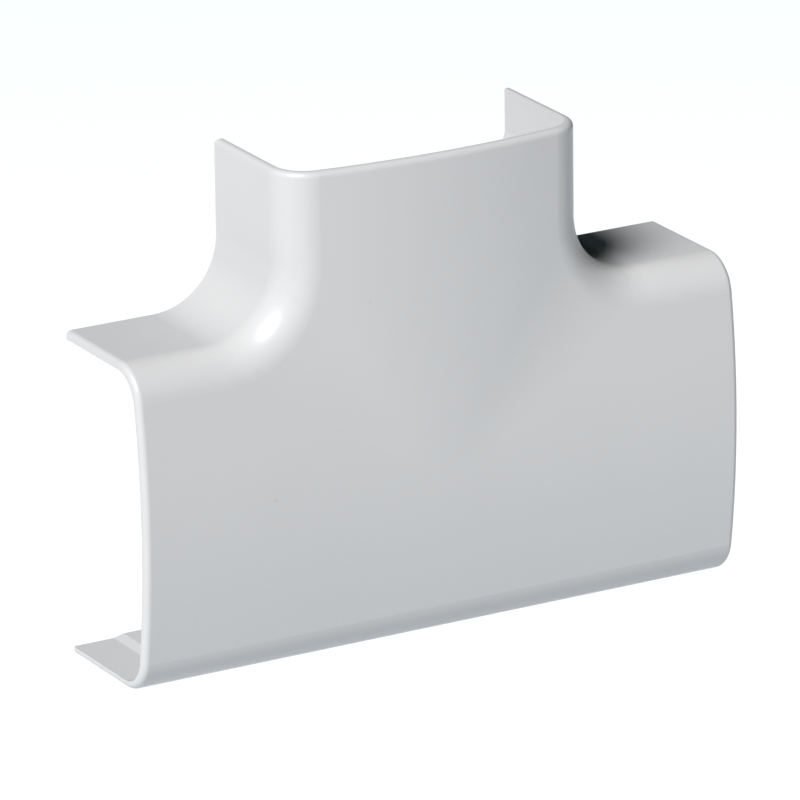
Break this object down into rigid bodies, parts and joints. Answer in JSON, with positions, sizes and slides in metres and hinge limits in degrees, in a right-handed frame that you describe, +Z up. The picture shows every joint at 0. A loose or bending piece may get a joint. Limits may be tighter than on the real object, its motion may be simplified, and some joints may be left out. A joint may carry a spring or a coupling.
{
  "type": "trunking tee fitting",
  "caption": "Thin moulded tee cover with arched front and rounded edges, open at the back and at its run and branch ends, to lap over wall trunking where a branch leaves a run.",
  "frame": {"origin": "on the wall plane, at the middle of the run's lower edge", "axes": "+X along the run, +Y out of the open back towards the wall, +Z up along the branch"},
  "size_m": [0.12, 0.0284, 0.09],
  "materials": {
    "cover_plastic": "satin, as moulded"
  },
  "bodies": {
    "root": {"tee_cover": "cover_plastic"}
  },
  "joints": []
}
